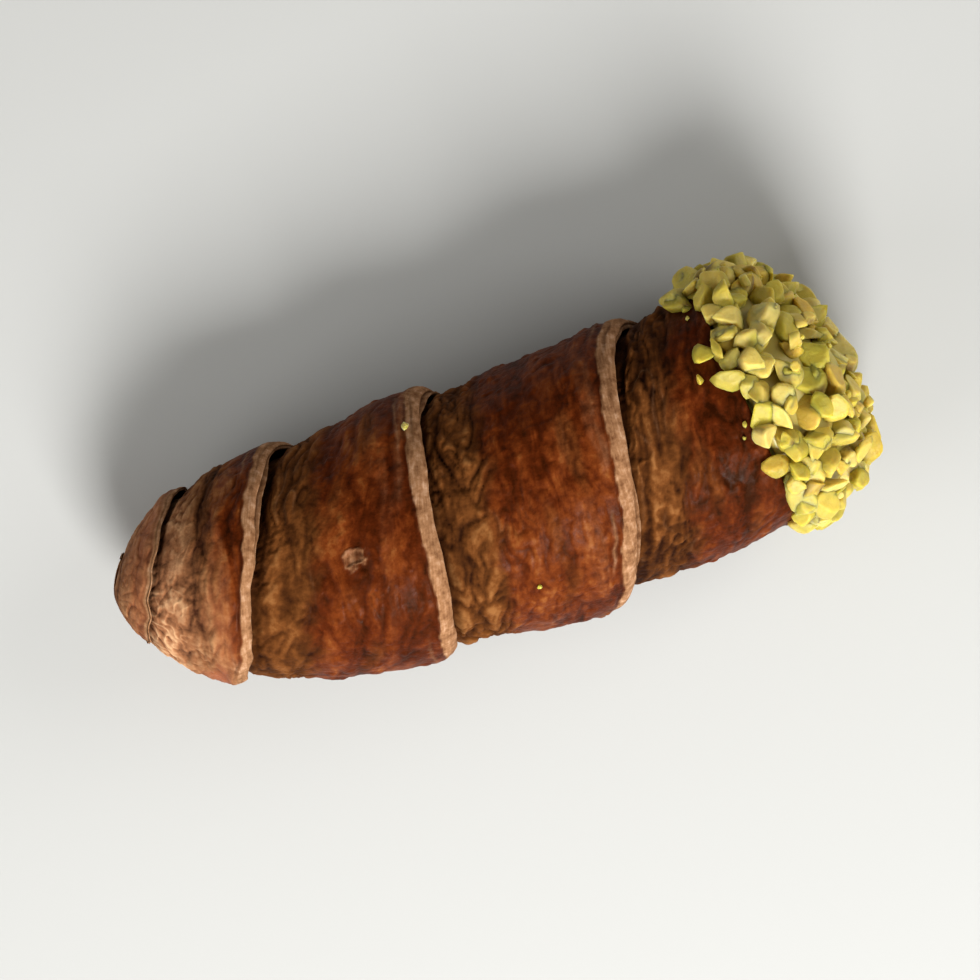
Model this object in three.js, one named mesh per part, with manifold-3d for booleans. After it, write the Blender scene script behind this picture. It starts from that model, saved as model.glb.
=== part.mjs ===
// A small filled pastry roll (cannolo), lying on its side.
// One strip of cocoa puff pastry is wound into a tapering roll. Every turn laps over the turn on its mouth
// side, so each lip faces the mouth. The tail is wound shut, the bore holds pistachio cream, and the cream's
// knob past the rim carries chopped pistachios.
// Millimetres, +Z up, +X from the closed tail to the mouth, origin under the middle of the whole.
import * as THREE from "three";
import { mergeVertices } from "three/addons/utils/BufferGeometryUtils.js";
import Module from "manifold-3d";

const wasm = await Module();
wasm.setup();

// ---- driving dimensions ----
const SHELL_LENGTH = 65; // tail tip to rim, along the middle
const BODY_RADIUS = 13.4; // crest of the fattest turn
const BEND_RADIUS = 220; // the roll bends a little towards +Y
const STRIP_LEAD = 19.7; // how far along the roll one turn of the strip carries its lip
const STRIP_STEP = 1.8; // how far a lip stands over the next turn
const EDGE_WIDTH = 1.4; // the strip's cut edge, seen from above
const BORE_RADIUS = 8.8; // cream space at the mouth
const HEAD_RADIUS = 12.2; // the knob of cream past the rim
const HEAD_HEIGHT = 8.4;
const GRAIN_SIZE = 4; // a middling piece of chopped pistachio
const FLOOR_PRESS = 0.75; // how far the baking sheet flattened the underside
const NODE_GAP = 0.35; // cream to pastry
const SEED = 11;

const FATTEST_AT = 0.72 * SHELL_LENGTH;
const HALF_TAPER = 0.49 * SHELL_LENGTH;
const TAPER_DROP = 0.1 * BODY_RADIUS;
const NOSE_LENGTH = 0.23 * SHELL_LENGTH;
const NOSE_POWER = 0.6; // 0.5 would be a round nose, more is a sharper one
const TIP = 0.3; // the wound strip begins this far from the very tip
const headFrom = SHELL_LENGTH + NODE_GAP;

const clamp = (v, low, high) => Math.min(high, Math.max(low, v));
const smooth = (v) => v * v * (3 - 2 * v);
const TURN = 2 * Math.PI;

// ---- the roll's own form: crest radius, centreline and hand-made unevenness ----
function bodyRadius(x) {
  const away = (x - FATTEST_AT) / HALF_TAPER;
  return BODY_RADIUS - TAPER_DROP * away * away;
}

function crestRadius(x) {
  const left = 1 - clamp(x / NOSE_LENGTH, 0, 1);
  return bodyRadius(x) * Math.pow(1 - left * left, NOSE_POWER);
}

// The roll lay on a level baking sheet, so its centreline rises and falls with the radius.
const BEND_AT = 0.47 * SHELL_LENGTH;
function centre(x) {
  const bend = (x - BEND_AT) / BEND_RADIUS;
  const along = BEND_AT + BEND_RADIUS * Math.sin(bend);
  return { bend, x: along, y: BEND_RADIUS * (1 - Math.cos(bend)), z: bodyRadius(x) - FLOOR_PRESS };
}

function unevenness(x, angle) {
  return 0.02 * Math.sin(2 * angle + 0.11 * x + 0.7) + 0.015 * Math.sin(3 * angle - 0.17 * x + 2.1);
}

// A point of the cross-section at x along the middle, by its steps sideways (towards +Y) and upwards.
function offset(x, sideways, upwards) {
  const c = centre(x);
  return [c.x - sideways * Math.sin(c.bend), c.y + sideways * Math.cos(c.bend), c.z + upwards];
}

// The same by radius, and by angle from the top towards +Y.
function place(x, radius, angle) {
  const r = radius * (1 + unevenness(x, angle));
  return offset(x, r * Math.sin(angle), r * Math.cos(angle));
}

// ---- the winding: where the strip's lip lies after t turns; at whole turns it crosses the top ----
const LEAD_FROM = 0.38; // before this turn the lead dies away, because the strip starts round a point
const TAIL_TURNS = 0.62; // how gently it does so
const TOP_LEVEL = 0.9; // every lip crosses the top a little more squarely than the sides
const TURN_WANDER = 1.8; // and every second lip more squarely still
const FULL_WANDER_AT = 25;
const FIRST_SLANT = 3.6; // the first lip reaches this much further along the +Y side
const SLANT_AT = 0.3; // after these turns
const SLANT_TURNS = 0.26;
function lipAt(t) {
  const turned = t - LEAD_FROM;
  const even = 0.5 * STRIP_LEAD * (turned + Math.hypot(turned, TAIL_TURNS));
  const wander = smooth(clamp(even / FULL_WANDER_AT, 0, 1));
  const slant = FIRST_SLANT * Math.exp(-(((t - SLANT_AT) / SLANT_TURNS) ** 2));
  return even + slant - wander * (TOP_LEVEL * Math.sin(TURN * t) + TURN_WANDER * Math.sin(0.5 * TURN * t));
}

// ---- the strip's section, as [x, radius] points, and the relief of its baked top ----
const HIDDEN = 4; // how far the strip runs back under the turn before
const HIDDEN_PRESS = 0.9; // and how much thinner it is there
const LIP_DEPTH = 2.6; // how far the lip overhangs the next turn
const LIP_UNDERCUT = 0.15; // how far its face leans back
const GAP_MEAN = 0.5; // the dark gap under it
const GAP_SWING = 0.22;
const TOP_POINTS = 7;
const CLEAR_START = 0.05; // keeps the points of the shortest sections apart

function boreRadius(x) {
  return BORE_RADIUS - 0.04 * (SHELL_LENGTH - x);
}

function stepHeight(x) {
  return STRIP_STEP * smooth(clamp(x / NOSE_LENGTH, 0.12, 1));
}

// Long wrinkles follow the strip, and low blisters lie across them.
function crags(x, from, angle) {
  const wrinkle = Math.sin(1.05 * (x - from) + 1.5 * Math.sin(2.3 * angle));
  const blister = Math.sin(6.3 * angle + 0.9 * x) * Math.sin(0.7 * x - 1.9 * angle);
  return 0.22 * wrinkle + 0.2 * blister;
}

// The strip climbs from under the lip before it to its own lip, whose cut edge falls away at the end.
const EDGE_DROP = 0.45; // of the step
function topRadius(x, from, lip) {
  const across = clamp((x - from) / Math.max(lip - from, 0.1), 0, 1);
  const rise = 1 - Math.pow(1 - across, 1.7);
  const edge = clamp(1 - (lip - x) / EDGE_WIDTH, 0, 1);
  return crestRadius(x) - stepHeight(x) * (1 - rise + EDGE_DROP * Math.pow(edge, 1.6));
}

function stripSection(t) {
  const lip = lipAt(t);
  const from = lipAt(t - 1); // the turn before hides everything up to here
  const start = Math.max(from - HIDDEN, TIP);
  const edgeFrom = Math.max(lip - EDGE_WIDTH, from + 0.6 * (lip - from));
  const angle = TURN * t;
  const core = (x) => Math.min(boreRadius(x) + 0.6, 0.45 * crestRadius(x));
  const top = (x) => topRadius(x, from, lip);
  const points = [[start, core(start)], [start, Math.max(top(start) - HIDDEN_PRESS, core(start) + 0.3)]];
  for (let i = 0; i <= TOP_POINTS; i++) {
    const x = Math.max(from + (edgeFrom - from) * (i / TOP_POINTS), start + CLEAR_START * (i + 1));
    points.push([x, top(x) + crags(x, from, angle) * Math.min(1, 4 * (1 - i / TOP_POINTS))]);
  }
  const edgeMiddle = 0.5 * (edgeFrom + lip);
  const face = lip - LIP_UNDERCUT;
  const under = lip - Math.min(LIP_DEPTH, 0.45 * (lip - start));
  const next = crestRadius(lip) - stepHeight(lip); // the next turn's surface where it comes out
  const gap = GAP_MEAN + GAP_SWING * Math.sin(TURN * 1.7 * t + 0.6);
  points.push([edgeMiddle, top(edgeMiddle)], [lip, top(lip)]);
  points.push([face, Math.min(next + gap, top(face) - 2 * LIP_UNDERCUT)]);
  points.push([under, Math.min(next + 0.5 * gap, top(under) - 4 * LIP_UNDERCUT)], [under, core(under)]);
  return { points, angle };
}

// ---- solids ----
function solidOf(geometry) {
  const bare = geometry.index ? geometry.toNonIndexed() : geometry.clone();
  bare.deleteAttribute("normal");
  bare.deleteAttribute("uv");
  const merged = mergeVertices(bare, 1e-4);
  const triVerts = new Uint32Array(merged.index.array);
  const vertProperties = merged.attributes.position.array;
  return new wasm.Manifold(new wasm.Mesh({ numProp: 3, vertProperties, triVerts }));
}

function geometryOf(solid) {
  const mesh = solid.getMesh();
  const geometry = new THREE.BufferGeometry();
  geometry.setAttribute("position", new THREE.BufferAttribute(new Float32Array(mesh.vertProperties), 3));
  geometry.setIndex(new THREE.BufferAttribute(new Uint32Array(mesh.triVerts), 1));
  geometry.computeVertexNormals();
  return geometry;
}

// The triangles that fill a section, wound the way its points run.
function capOf({ points }) {
  const outline = points.map(([x, r]) => new THREE.Vector2(x, r));
  const faces = THREE.ShapeUtils.triangulateShape(outline, []);
  const same = faces.reduce((sum, face) => sum + THREE.ShapeUtils.area(face.map((i) => outline[i])), 0);
  const flipped = same * THREE.ShapeUtils.area(outline) < 0;
  return flipped ? faces.map(([i, j, k]) => [i, k, j]) : faces;
}

// A closed tube through sections of equal point counts, its two ends filled in.
function sweptSolid(sections) {
  const size = sections[0].points.length;
  const positions = sections.flatMap(({ points, angle }) => points.flatMap(([x, r]) => place(x, r, angle)));
  const index = [];
  for (let s = 0; s + 1 < sections.length; s++) {
    for (let p = 0; p < size; p++) {
      const a = s * size + p;
      const b = s * size + ((p + 1) % size);
      index.push(a, b, a + size, b, b + size, a + size);
    }
  }
  const last = (sections.length - 1) * size;
  for (const [i, j, k] of capOf(sections[0])) index.push(i, k, j);
  for (const [i, j, k] of capOf(sections[sections.length - 1])) index.push(last + i, last + j, last + k);
  const geometry = new THREE.BufferGeometry();
  geometry.setAttribute("position", new THREE.BufferAttribute(new Float32Array(positions), 3));
  geometry.setIndex(index);
  return solidOf(geometry);
}

const LATHE_SIDES = 28;

// A lathed profile of [x, radius] points that starts and ends on the axis, bent along the roll's centreline.
function lathedSolid(profile) {
  const geometry = new THREE.LatheGeometry(profile.map(([x, r]) => new THREE.Vector2(r, x)), LATHE_SIDES);
  const at = geometry.getAttribute("position");
  for (let i = 0; i < at.count; i++) {
    at.setXYZ(i, ...offset(at.getY(i), -at.getX(i), at.getZ(i)));
  }
  return solidOf(geometry);
}

const cylinder = (from, to, radius) => lathedSolid([[from, 0], [from, radius], [to, radius], [to, 0]]);

function boxSolid(low, high) {
  const size = high.map((v, i) => v - low[i]);
  const box = new THREE.BoxGeometry(...size);
  box.translate(...high.map((v, i) => (v + low[i]) / 2));
  return solidOf(box);
}

// ---- chopped pistachios ----
let seed = SEED;
function random() {
  seed = (seed * 1664525 + 1013904223) % 4294967296;
  return seed / 4294967296;
}
const between = (low, high) => low + (high - low) * random();

// A knife-cut piece: a lumpy twenty-sided form, longer than it is wide, turned at random.
function grain(position, size) {
  const geometry = new THREE.IcosahedronGeometry(0.5, 0);
  geometry.deleteAttribute("normal");
  geometry.deleteAttribute("uv");
  const piece = mergeVertices(geometry, 1e-4);
  const at = piece.getAttribute("position");
  const length = size * between(0.95, 1.3);
  const width = size * between(0.65, 0.95);
  const thickness = size * between(0.5, 0.8);
  for (let i = 0; i < at.count; i++) {
    const lump = between(0.85, 1.2);
    at.setXYZ(i, at.getX(i) * length * lump, at.getY(i) * width * lump, at.getZ(i) * thickness * lump);
  }
  const turn = new THREE.Euler(between(0, TURN), between(0, TURN), between(0, TURN));
  piece.applyMatrix4(new THREE.Matrix4().makeRotationFromEuler(turn));
  piece.translate(...position);
  return solidOf(piece);
}

// ---- the pastry shell ----
const STEPS_PER_TURN = 32;
const FIRST_TURN = -0.8;
const LAST_TURN = 4.75; // by then the whole rim is covered
const SEGMENT_STEPS = 16; // half a turn, so that no piece of the strip touches itself
function woundStrip() {
  const segments = [];
  const first = Math.round(FIRST_TURN * STEPS_PER_TURN);
  const last = Math.round(LAST_TURN * STEPS_PER_TURN);
  for (let step = first; step < last; step += SEGMENT_STEPS) {
    const sections = [];
    const end = Math.min(step + SEGMENT_STEPS, last);
    for (let k = step; k <= end; k++) sections.push(stripSection(k / STEPS_PER_TURN));
    segments.push(sweptSolid(sections));
  }
  return wasm.Manifold.union(segments);
}

// The hollow's end is rounded, and stops short of the closed tail. The cream in it is smaller by the gap.
const HOLLOW_FROM = 11;
const HOLLOW_END = 5; // the length of its rounded end
function hollowProfile(shrink) {
  const points = [[HOLLOW_FROM + shrink, 0]];
  for (const share of [0.35, 0.7, 0.92, 1]) {
    const x = HOLLOW_FROM + HOLLOW_END * (1 - Math.sqrt(1 - share * share));
    points.push([x + shrink * (1 - share), (boreRadius(x) - shrink) * share]);
  }
  const straight = SHELL_LENGTH - HOLLOW_FROM - HOLLOW_END;
  for (let i = 1; i <= 6; i++) {
    const x = HOLLOW_FROM + HOLLOW_END + (straight * i) / 6;
    points.push([x, boreRadius(x) - shrink]);
  }
  return points;
}

// The turns' inner half, pressed together on the mandrel into one wall.
const WALL = 1.5;
function lining() {
  const outer = (x) => Math.min(crestRadius(x) - stepHeight(x) - 0.5, boreRadius(x) + WALL);
  const stations = [TIP, 0.8, 2, 4, 7, 11, 16, 26, 36, 46, 56, SHELL_LENGTH];
  return lathedSolid([[TIP, 0], ...stations.map((x) => [x, outer(x)]), [SHELL_LENGTH, 0]]);
}

const floor = boxSolid([-20, -40, -20], [SHELL_LENGTH + 40, 40, 0]);
const hollow = lathedSolid([...hollowProfile(0), [headFrom, BORE_RADIUS], [headFrom, 0]]);

// A few pieces strayed onto the pastry behind the rim, each given as its distance behind it, its degrees
// from the top towards +Y, and its size.
const STRAYS = [[1.9, 30, 3.2], [2.0, 52, 3.8], [3.6, 66, 3.2], [2.1, 84, 3.6], [2, 128, 3.2], [1.8, -44, 3]];
const strays = STRAYS.map(([back, degrees, size]) => {
  const x = SHELL_LENGTH - back;
  return grain(place(x, crestRadius(x) - 0.5 * STRIP_STEP, THREE.MathUtils.degToRad(degrees)), size);
});
const pastRim = cylinder(SHELL_LENGTH, SHELL_LENGTH + 20, 25);
const cuts = wasm.Manifold.union([hollow, floor, pastRim]);
const pastry = wasm.Manifold.union([woundStrip(), lining(), ...strays]).subtract(cuts);

// ---- the filling: cream through the bore, its knob past the rim, and the pistachios it was dipped in ----
const HEAD_COLLAR = 0.6; // the head's short straight side at the rim
const HEAD_FULLNESS = 0.77; // 1 would be a plain dome, less is a blunter knob
function headPoint(share, proud = 0) {
  const angle = (share * Math.PI) / 2;
  const x = headFrom + HEAD_COLLAR + (HEAD_HEIGHT + proud) * Math.pow(Math.sin(angle), HEAD_FULLNESS);
  return [x, (HEAD_RADIUS + proud) * Math.pow(Math.max(Math.cos(angle), 0), HEAD_FULLNESS)];
}
const creamProfile = hollowProfile(NODE_GAP);
creamProfile.push([headFrom, BORE_RADIUS - NODE_GAP], [headFrom, HEAD_RADIUS]);
for (const share of [0, 0.25, 0.5, 0.75]) creamProfile.push(headPoint(share));
creamProfile.push([headPoint(1)[0], 0]);

// Pieces lie on the knob in rings, each turned against the last, and the widest ring hides the rim.
const RING_SHARES = [0, 0.13, 0.32, 0.52, 0.7, 0.87, 1];
const PIECE_SPACING = 0.95 * GRAIN_SIZE;
const topping = RING_SHARES.flatMap((share, ring) => {
  const [x, radius] = headPoint(share, 0.3);
  const pieces = Math.max(1, Math.round((TURN * radius) / PIECE_SPACING));
  return Array.from({ length: pieces }, (_, i) => {
    const size = GRAIN_SIZE * between(0.75, 1.25);
    const angle = TURN * ((i + 0.5 * ring + between(-0.22, 0.22)) / pieces);
    const [px, py, pz] = place(x + between(-0.3, 0.4), radius + between(-0.3, 0.5), angle);
    return grain([px, py, Math.max(pz, 0.45 * size)], size);
  });
});
const behindRim = headFrom - 8;
const rimClearance = cylinder(behindRim, headFrom, 20)
  .subtract(cylinder(behindRim - 1, headFrom + 1, BORE_RADIUS - NODE_GAP));
const raisedFloor = boxSolid([-20, -40, -20], [SHELL_LENGTH + 40, 40, 0.2]);
const filling = wasm.Manifold.union([lathedSolid(creamProfile), ...topping]).subtract(raisedFloor);

// ---- the part, with its origin under the middle of its box ----
function largest(solid) {
  return solid.decompose().reduce((best, piece) => (piece.volume() > best.volume() ? piece : best));
}
const shellSolid = largest(pastry);
const fillingSolid = largest(filling.subtract(rimClearance));
const boxes = [shellSolid.boundingBox(), fillingSolid.boundingBox()];
function middle(axis) {
  const low = Math.min(...boxes.map((box) => box.min[axis]));
  const high = Math.max(...boxes.map((box) => box.max[axis]));
  return (low + high) / 2;
}

function node(name, solid, colour, roughness) {
  const material = new THREE.MeshStandardMaterial({ color: colour, roughness, metalness: 0 });
  const mesh = new THREE.Mesh(geometryOf(solid), material);
  mesh.name = name;
  mesh.position.set(-middle(0), -middle(1), 0);
  return mesh;
}

const part = new THREE.Group();
part.add(node("pastry_shell", shellSolid, 0x8a4b2b, 0.5));
part.add(node("pistachio_filling", fillingSolid, 0xc9bb3f, 0.6));
export default part;
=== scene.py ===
import itertools
import math

import bpy
import numpy as np
from mathutils import Matrix, Vector


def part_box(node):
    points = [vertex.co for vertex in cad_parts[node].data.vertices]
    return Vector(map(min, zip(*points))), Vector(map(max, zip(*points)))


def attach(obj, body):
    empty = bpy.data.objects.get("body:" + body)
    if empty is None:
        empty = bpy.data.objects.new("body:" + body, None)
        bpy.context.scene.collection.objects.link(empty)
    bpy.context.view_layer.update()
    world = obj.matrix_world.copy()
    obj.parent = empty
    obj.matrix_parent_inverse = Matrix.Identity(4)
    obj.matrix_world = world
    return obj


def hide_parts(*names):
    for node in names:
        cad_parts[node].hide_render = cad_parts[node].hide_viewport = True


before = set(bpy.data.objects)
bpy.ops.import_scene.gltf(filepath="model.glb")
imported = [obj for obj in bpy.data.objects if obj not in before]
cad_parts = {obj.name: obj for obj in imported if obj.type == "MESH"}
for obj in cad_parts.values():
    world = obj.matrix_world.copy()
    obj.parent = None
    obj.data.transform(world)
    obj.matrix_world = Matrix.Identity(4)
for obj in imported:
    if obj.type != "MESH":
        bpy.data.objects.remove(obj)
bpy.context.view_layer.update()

# ---- The wound strip of puff pastry ----
# One long strip of cocoa puff pastry, wound round a tapering mandrel, glazed and baked. Each turn laps over
# the next one towards the mouth, so its cut edge stands proud as a pale layered lip with a dark gap under
# it, whose shade is partly painted into the colour. It is one closed section swept along the winding, in
# runs that meet on the underside.
MM = 0.001
TURN = 2 * math.pi
SHELL_LENGTH = 65.0  # tail tip to rim, along the middle; every size here is in millimetres
BODY_RADIUS = 13.4  # crest of the fattest turn
BEND_RADIUS = 220.0  # the roll bends a little towards +Y
STRIP_LEAD = 19.7  # how far along the roll one turn of the strip carries its lip
STRIP_STEP = 1.8  # how far a lip stands over the next turn
BAND_WIDTH = 1.4  # the strip's cut edge, seen from above
BORE_RADIUS = 8.8
FLOOR_PRESS = 0.75  # how far the baking sheet flattened the underside
FATTEST_AT = 0.72 * SHELL_LENGTH
HALF_TAPER = 0.49 * SHELL_LENGTH
TAPER_DROP = 0.1 * BODY_RADIUS  # how much thinner the body is that far from its fattest place
NOSE_LENGTH = 0.23 * SHELL_LENGTH
NOSE_POWER = 0.6
BEND_AT = 0.47 * SHELL_LENGTH
TIP = 0.02  # where the strip begins, a hair inside the tail's tip
FIRST_TURN, LAST_TURN = -0.8, 4.72
LEAD_STARTS, LEAD_EASES = 0.38, 0.62  # the turn where the lip sets off, and the turns it takes over it
FIRST_SLANT, SLANT_AT, SLANT_TURNS = 3.6, 0.3, 0.26  # the first lip's slant, its turn and its width in turns
WANDER, SLOW_WANDER, WANDER_GROWS = 0.9, 1.8, 25  # once a turn, once in two turns, and how soon it is full


def smooth(v):
    """0 below 0, 1 above 1, and an even s-curve between."""
    v = np.clip(v, 0, 1)
    return v * v * (3 - 2 * v)


def bell(v):
    """1 at 0, falling to 0 on both sides."""
    return np.exp(-(v**2))


def body_radius(x):
    """The roll's radius without its nose: a parabola that falls away from the fattest place."""
    return BODY_RADIUS - TAPER_DROP * ((x - FATTEST_AT) / HALF_TAPER) ** 2


def crest_radius(x):
    """The body's radius, closed over a rounded nose at the tail."""
    left = 1 - np.clip(x / NOSE_LENGTH, 0, 1)
    return body_radius(x) * np.maximum(1 - left * left, 1e-9) ** NOSE_POWER


def bore_radius(x):
    """The bore narrows evenly from the rim to the tail."""
    return BORE_RADIUS - 0.04 * (SHELL_LENGTH - x)


def place(x, radius, angle):
    """Points at x along the bent middle, at a radius and an angle from the top towards +Y, in
    millimetres. The middle's height is the body's radius less the flat that the baking sheet pressed, and
    the section is out of round by a few hundredths."""
    uneven = 0.02 * np.sin(2 * angle + 0.11 * x + 0.7) + 0.015 * np.sin(3 * angle - 0.17 * x + 2.1)
    bend = (x - BEND_AT) / BEND_RADIUS
    sideways = radius * (1 + uneven) * np.sin(angle)
    height = body_radius(x) - FLOOR_PRESS + radius * (1 + uneven) * np.cos(angle)
    along = BEND_AT + BEND_RADIUS * np.sin(bend) - sideways * np.sin(bend)
    across = BEND_RADIUS * (1 - np.cos(bend)) + sideways * np.cos(bend)
    return np.stack([along, across, height], -1)


def settle(at, level, softness):
    """Presses what hangs below a level flat on it: a hyperbola that follows the height above and the
    level below."""
    at = at.copy()
    height = at[..., 2] - level
    at[..., 2] = level + 0.5 * (height + np.hypot(height, softness))
    return at


def lip_at(t):
    """Where the strip's lip lies after t turns: an even lead that dies away round the tail's point, a
    bell that carries the first lip further along the +Y side, and a slow wander that lets the later lips
    cross the top more squarely than the sides."""
    turned = t - LEAD_STARTS
    even = 0.5 * STRIP_LEAD * (turned + np.hypot(turned, LEAD_EASES))
    slant = FIRST_SLANT * bell((t - SLANT_AT) / SLANT_TURNS)
    wander = WANDER * np.sin(TURN * t) + SLOW_WANDER * np.sin(0.5 * TURN * t)
    return even + slant - smooth(even / WANDER_GROWS) * wander


ARC_TURNS = np.linspace(FIRST_TURN, LAST_TURN, 1200)
ARC_RADII = crest_radius(np.maximum(lip_at(ARC_TURNS) - 0.3 * STRIP_LEAD, 1.5))
ARC_LENGTHS = np.cumsum(ARC_RADII) * TURN * (ARC_TURNS[1] - ARC_TURNS[0])


def unrolled(t):
    """The length of strip used up after t turns: the circumferences so far, added up."""
    return np.interp(t, ARC_TURNS, ARC_LENGTHS)


rng = np.random.default_rng(11)
SHUFFLE = rng.permutation(256)
SLOPES = rng.normal(size=(256, 3))
SLOPES /= np.linalg.norm(SLOPES, axis=1, keepdims=True)


def noise(*axes):
    """Gradient noise in about -1 to 1 at points given by up to three arrays: in each unit cell, the
    slopes at its eight corners are blended by a quintic s-curve. On the strip, places are divided by the
    length and the width of the marks in millimetres, and a last number picks one pattern of many."""
    p = np.stack(np.broadcast_arrays(*axes, *([0.0] * (3 - len(axes)))), -1)
    cell = np.floor(p).astype(np.int64)
    f = p - cell
    blend = f * f * f * (f * (f * 6 - 15) + 10)
    total = np.zeros(p.shape[:-1])
    for corner in itertools.product((0, 1), repeat=3):
        c = cell + corner
        pick = SHUFFLE[(SHUFFLE[(SHUFFLE[c[..., 0] & 255] + c[..., 1]) & 255] + c[..., 2]) & 255]
        weight = np.prod(np.where(corner, blend, 1 - blend), -1)
        total += weight * ((f - corner) * SLOPES[pick]).sum(-1)
    return 1.7 * total


def layered(*axes, octaves=3):
    """Noise with finer copies added, each half as large and half as high as the one before."""
    return sum(noise(*[a * 2**k + 17.3 * k for a in axes]) / 2**k for k in range(octaves))


def puffs(*axes):
    """Noise folded at zero: round puffs up to 1, with a sharp crease of 0 between them."""
    return np.minimum(1.9 * np.abs(noise(*axes)), 1) ** 0.6


def blisters(a, w, size):
    """Round bumps of 0 to 1 at one jittered point in each square of that size, some of them missing."""
    u, v = a / size, w / size
    best = np.zeros(np.broadcast(u, v).shape)
    for du, dv in itertools.product((-1, 0, 1), repeat=2):
        cu, cv = np.floor(u).astype(np.int64) + du, np.floor(v).astype(np.int64) + dv
        pick = SHUFFLE[(SHUFFLE[cu & 255] + cv) & 255]
        jitter = SLOPES[pick]
        away_u = u - cu - 0.5 - 0.35 * jitter[..., 0]
        away_v = v - cv - 0.5 - 0.35 * jitter[..., 1]
        reach = 0.3 + 0.2 * jitter[..., 2]
        bump = smooth(1 - (away_u**2 + away_v**2) / reach**2)
        best = np.maximum(best, np.where(pick % 5 < 2, bump, 0))
    return best


def flakes(field, a, w, slope_width):
    """Flaky layers as the levels of a field on the strip: each flake tilts gently and ends in a short
    rise of the same width everywhere, which is the distance to the level line over the field's slope.
    Gives the height in levels and the signed distance to the nearest flake's edge."""
    along = np.gradient(field, a[:, 0], axis=0)
    across = np.gradient(field, axis=1) / np.gradient(w, axis=1)
    level = np.floor(field)
    away = (field - level - 0.5) / np.maximum(np.hypot(along, across), 0.04)
    return level + smooth(0.5 + away / slope_width) - field, away


RUN_STEPS = 640
TUCKED, TOP, BAND, FACE, UNDER, BACK, BORE = 5, 102, 14, 11, 4, 3, 5  # points in each stretch of the section
OUTER = TUCKED + TOP + BAND
HIDDEN = 4.0  # how far the strip goes on under the turn before it
TUCK_DEPTH = 0.9  # and how deep it lies there
PRESS_SOFTNESS = 0.16
NOTCH_AT = 0.38  # the notch between the layers, as a share of the way down the cut face
LIP_WAVES = [(0.26, 6.0, 3.3), (0.12, 2.3, 7.7), (0.02, 0.7, 5.1)]  # height, length and pattern
LIP_FRAYS = [(0.4, 6.0, 1.2, 17.2), (0.3, 13.0, 2.1, 61.3)]  # height, place, length and pattern
FRAY_REACH = 4.0
BARE_WIDTH = 4.4  # from the lip before to the glaze
GLAZE_EDGE = 2.8  # how gently the glaze begins
TAIL_UNTIL, TAIL_FADES = 3.0, 10.0  # the tail's dry, wrinkled dough, and the stretch over which it ends
PINCHED_AT = 11.0  # where the second turn is pinched into sharper folds
CALM_AT = 15.0  # the lip beside which the dough lies smoother
LAST_BARE_AT = 44.0  # the bare stretch past this lip is darker, with more curled creases
BROKEN_BLISTERS = [  # turns to each, distance from the lip before, size
    (2.0, 10.0, 0.9), (2.62, 7.5, 1.0), (3.42, 11.0, 0.8), (1.55, 6.0, 0.8), (4.33, 8.0, 1.0),
]


def top_radius(x, before, lip):
    """The outer side without its relief: up in an even curve from the lip before, then rounding down over
    the cut edge."""
    across = np.clip((x - before) / np.maximum(lip - before, 0.1), 0, 1)
    drop = np.clip(1 - (lip - x) / BAND_WIDTH, 0, 1)
    step = STRIP_STEP * smooth(np.clip(x / NOSE_LENGTH, 0.12, 1))
    return crest_radius(x) - step * ((1 - across) ** 1.7 + 0.42 * drop**2)


def wavy_lip(t):
    """The lip's place with the waves that baking gave it, which are deepest where the strip frayed."""
    a = unrolled(t)
    lip = lip_at(t)
    waves = sum(high * noise(a / long, pattern) for high, long, pattern in LIP_WAVES)
    lip = lip + smooth(lip / 5) * waves
    for high, where, long, pattern in LIP_FRAYS:
        lip = lip + high * bell((lip - where) / FRAY_REACH) * noise(a / long, pattern)
    return lip


def outer_side(t):
    """x and radius of the section's outer side after t turns, with the lip before, the lip and how deep
    it is tucked under at its start. The first turn has nothing to be tucked under."""
    lip = wavy_lip(t)
    covered = smooth((t - FIRST_TURN - 0.85) / 0.15)
    nose = TIP + 0.3
    before = nose + (lip_at(t - 1) - nose) * covered
    start = np.maximum(before - HIDDEN, TIP)
    band_from = np.maximum(lip - BAND_WIDTH, before + 0.6 * (lip - before))
    depth = TUCK_DEPTH * covered
    tucked = np.linspace(0, 1, TUCKED, endpoint=False)
    top = np.linspace(0, 1, TOP, endpoint=False) ** (1 + 0.6 * np.exp(-before / 3))
    band = np.linspace(0, 1, BAND)
    x = np.concatenate([
        start + (before - start) * tucked,
        before + (band_from - before) * top,
        band_from + (lip - band_from) * band,
    ], 1)
    r = top_radius(x, before, lip)
    r[:, :TUCKED] = np.maximum(r[:, :TUCKED] - depth * (1 - tucked), 0.3 * r[:, :TUCKED])
    return x, r, before, lip, depth


def glaze_cover(a, w, laps, tail):
    """Where the glaze reached, from 0 to 1: it begins in a ragged soft edge a few millimetres past the
    lip before, is thin round the tail and worn in patches."""
    bare_width = (BARE_WIDTH + 1.6 * noise(a / 13, 1.1) + 0.9 * noise(a / 4, w / 5, 5.5)) * laps
    ragged = 0.25 * noise(a / 1.5, w / 0.8, 7.3)
    glaze = smooth((w - bare_width) / GLAZE_EDGE + ragged) * (1 - 0.6 * tail)
    return glaze * (1 - 0.5 * smooth(2.4 * noise(a / 8, w / 3.2, 9.9) - 0.6))


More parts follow.
